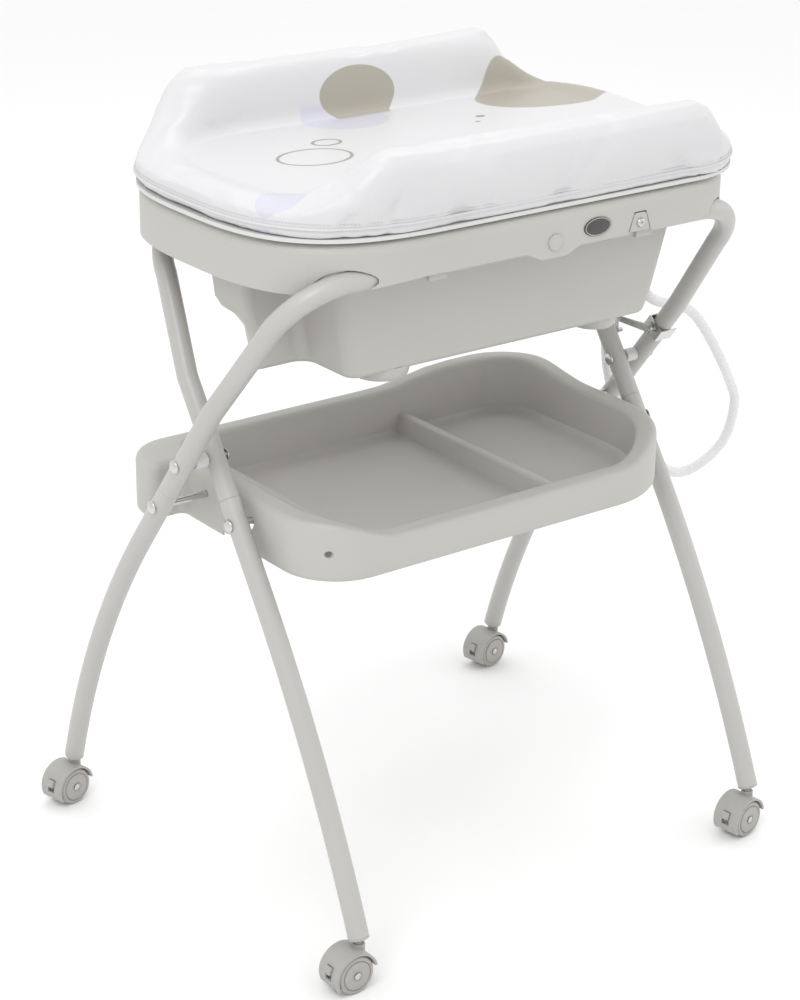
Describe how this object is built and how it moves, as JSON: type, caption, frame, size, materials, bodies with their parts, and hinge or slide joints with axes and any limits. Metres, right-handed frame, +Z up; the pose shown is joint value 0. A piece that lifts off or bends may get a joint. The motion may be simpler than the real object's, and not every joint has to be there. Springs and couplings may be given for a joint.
{
  "type": "changing table",
  "caption": "Folding changing table: padded lift-up top over a bath, storage tray, crossed tube frame on braked casters, drain hose.",
  "frame": {"origin": "on the floor, under the middle of the table's box without its drain hose", "axes": "+Z up, +X towards the drain hose's end along the long side, +Y towards the side where the padded top is hinged"},
  "size_m": [0.9928, 0.6194, 0.9716],
  "materials": {
    "painted_steel": "satin powder coat in warm light grey",
    "shell_plastic": "satin moulded plastic in warm light grey",
    "caster_plastic": "satin moulded plastic, slightly darker",
    "zinc_steel": "bright zinc plate",
    "board_plastic": "plain pale board",
    "pad_vinyl": "satin coated cloth over foam, with plain printed shapes",
    "hose_plastic": "cloudy white flexible hose",
    "badge_plastic": "plain dark oval with a thin pale border"
  },
  "bodies": {
    "outer_assembly": {"outer_frame": "painted_steel", "outer_leg_left": "painted_steel", "outer_leg_right": "painted_steel", "pivot_bolt_left": "zinc_steel", "pivot_bolt_right": "zinc_steel", "pivot_spacer_left": "board_plastic", "pivot_spacer_right": "board_plastic", "tray_hinge_bolt_left": "zinc_steel", "tray_hinge_bolt_right": "zinc_steel", "caster_far_left_plug": "shell_plastic", "caster_far_right_plug": "shell_plastic", "latch_channel": "zinc_steel", "latch_pin": "zinc_steel"},
    "inner_assembly": {"inner_frame": "painted_steel", "inner_leg_left": "painted_steel", "inner_leg_right": "painted_steel", "tray_hook_bolt_left": "zinc_steel", "tray_hook_bolt_right": "zinc_steel", "caster_near_left_plug": "shell_plastic", "caster_near_right_plug": "shell_plastic", "latch_catch": "zinc_steel"},
    "bath": {"tub": "shell_plastic", "rim_cap": "shell_plastic", "rim_badge": "badge_plastic", "bar_bracket": "shell_plastic", "bracket_screw": "zinc_steel", "drain_hose": "hose_plastic", "drain_spigot": "shell_plastic", "drain_plug": "caster_plastic", "hose_holder": "shell_plastic", "top_hinge_lug_left": "shell_plastic", "top_hinge_lug_right": "shell_plastic", "top_hinge_pin_left": "zinc_steel", "top_hinge_pin_right": "zinc_steel"},
    "changing_top": {"top_board": "board_plastic", "top_pad": "pad_vinyl"},
    "storage_tray": {"tray": "shell_plastic"},
    "safety_hook": {"latch_hook": "zinc_steel"},
    "far_left_swivel": {"caster_far_left_hood": "caster_plastic", "caster_far_left_axle": "zinc_steel"},
    "far_left_wheel_near": {"caster_far_left_wheel_near": "caster_plastic"},
    "far_left_wheel_far": {"caster_far_left_wheel_far": "caster_plastic"},
    "far_left_pedal": {"caster_far_left_brake": "caster_plastic"},
    "near_left_swivel": {"caster_near_left_hood": "caster_plastic", "caster_near_left_axle": "zinc_steel"},
    "near_left_wheel_near": {"caster_near_left_wheel_near": "caster_plastic"},
    "near_left_wheel_far": {"caster_near_left_wheel_far": "caster_plastic"},
    "near_left_pedal": {"caster_near_left_brake": "caster_plastic"},
    "near_right_swivel": {"caster_near_right_hood": "caster_plastic", "caster_near_right_axle": "zinc_steel"},
    "near_right_wheel_near": {"caster_near_right_wheel_near": "caster_plastic"},
    "near_right_wheel_far": {"caster_near_right_wheel_far": "caster_plastic"},
    "near_right_pedal": {"caster_near_right_brake": "caster_plastic"},
    "far_right_swivel": {"caster_far_right_hood": "caster_plastic", "caster_far_right_axle": "zinc_steel"},
    "far_right_wheel_near": {"caster_far_right_wheel_near": "caster_plastic"},
    "far_right_wheel_far": {"caster_far_right_wheel_far": "caster_plastic"},
    "far_right_pedal": {"caster_far_right_brake": "caster_plastic"}
  },
  "joints": [
    {"name": "frame_fold", "type": "hinge", "parent": "outer_assembly", "child": "inner_assembly", "pos_m": [0.0147, 0.0016, 0.559], "axis": [1, 0, 0], "range_deg": [0, 30]},
    {"name": "tub_lift", "type": "hinge", "parent": "outer_assembly", "child": "bath", "pos_m": [0.0147, -0.19023, 0.809], "axis": [1, 0, 0], "range_deg": [0, 90]},
    {"name": "tray_fold", "type": "hinge", "parent": "outer_assembly", "child": "storage_tray", "pos_m": [0.0147, 0.05339, 0.4915], "axis": [-1, 0, 0], "range_deg": [0, 30]},
    {"name": "top_open", "type": "hinge", "parent": "bath", "child": "changing_top", "pos_m": [0.0147, 0.2336, 0.85], "axis": [-1, 0, 0], "range_deg": [0, 100]},
    {"name": "hook_lift", "type": "hinge", "parent": "outer_assembly", "child": "safety_hook", "pos_m": [0.3455, -0.03188, 0.60263], "axis": [1, 0, 0], "range_deg": [0, 60]},
    {"name": "far_left_swivel_turn", "type": "hinge", "parent": "outer_assembly", "child": "far_left_swivel", "pos_m": [-0.3353, 0.2886, 0.05], "axis": [0, 0, 1], "continuous": true},
    {"name": "far_left_roll_near", "type": "hinge", "parent": "far_left_swivel", "child": "far_left_wheel_near", "pos_m": [-0.34899, 0.28569, 0.024], "axis": [-0.2079, 0.9781, 0], "continuous": true},
    {"name": "far_left_roll_far", "type": "hinge", "parent": "far_left_swivel", "child": "far_left_wheel_far", "pos_m": [-0.34899, 0.28569, 0.024], "axis": [-0.2079, 0.9781, 0], "continuous": true},
    {"name": "far_left_brake_press", "type": "hinge", "parent": "far_left_swivel", "child": "far_left_pedal", "pos_m": [-0.34899, 0.28569, 0.024], "axis": [0.2079, -0.9781, 0], "range_deg": [0, 14]},
    {"name": "near_left_swivel_turn", "type": "hinge", "parent": "inner_assembly", "child": "near_left_swivel", "pos_m": [-0.2928, -0.2854, 0.05], "axis": [0, 0, 1], "continuous": true},
    {"name": "near_left_roll_near", "type": "hinge", "parent": "near_left_swivel", "child": "near_left_wheel_near", "pos_m": [-0.3068, -0.2854, 0.024], "axis": [0, 1, 0], "continuous": true},
    {"name": "near_left_roll_far", "type": "hinge", "parent": "near_left_swivel", "child": "near_left_wheel_far", "pos_m": [-0.3068, -0.2854, 0.024], "axis": [0, 1, 0], "continuous": true},
    {"name": "near_left_brake_press", "type": "hinge", "parent": "near_left_swivel", "child": "near_left_pedal", "pos_m": [-0.3068, -0.2854, 0.024], "axis": [0, -1, 0], "range_deg": [0, 14]},
    {"name": "near_right_swivel_turn", "type": "hinge", "parent": "inner_assembly", "child": "near_right_swivel", "pos_m": [0.3222, -0.2854, 0.05], "axis": [0, 0, 1], "continuous": true},
    {"name": "near_right_roll_near", "type": "hinge", "parent": "near_right_swivel", "child": "near_right_wheel_near", "pos_m": [0.30834, -0.28735, 0.024], "axis": [-0.1392, 0.9903, 0], "continuous": true},
    {"name": "near_right_roll_far", "type": "hinge", "parent": "near_right_swivel", "child": "near_right_wheel_far", "pos_m": [0.30834, -0.28735, 0.024], "axis": [-0.1392, 0.9903, 0], "continuous": true},
    {"name": "near_right_brake_press", "type": "hinge", "parent": "near_right_swivel", "child": "near_right_pedal", "pos_m": [0.30834, -0.28735, 0.024], "axis": [0.1392, -0.9903, 0], "range_deg": [0, 14]},
    {"name": "far_right_swivel_turn", "type": "hinge", "parent": "outer_assembly", "child": "far_right_swivel", "pos_m": [0.3647, 0.2886, 0.05], "axis": [0, 0, 1], "continuous": true},
    {"name": "far_right_roll_near", "type": "hinge", "parent": "far_right_swivel", "child": "far_right_wheel_near", "pos_m": [0.35084, 0.28665, 0.024], "axis": [-0.1392, 0.9903, 0], "continuous": true},
    {"name": "far_right_roll_far", "type": "hinge", "parent": "far_right_swivel", "child": "far_right_wheel_far", "pos_m": [0.35084, 0.28665, 0.024], "axis": [-0.1392, 0.9903, 0], "continuous": true},
    {"name": "far_right_brake_press", "type": "hinge", "parent": "far_right_swivel", "child": "far_right_pedal", "pos_m": [0.35084, 0.28665, 0.024], "axis": [0.1392, -0.9903, 0], "range_deg": [0, 14]}
  ],
  "couplings": [
    {"joint": "tub_lift", "follows": "frame_fold", "ratio": 3},
    {"joint": "tray_fold", "follows": "frame_fold", "ratio": 1}
  ]
}
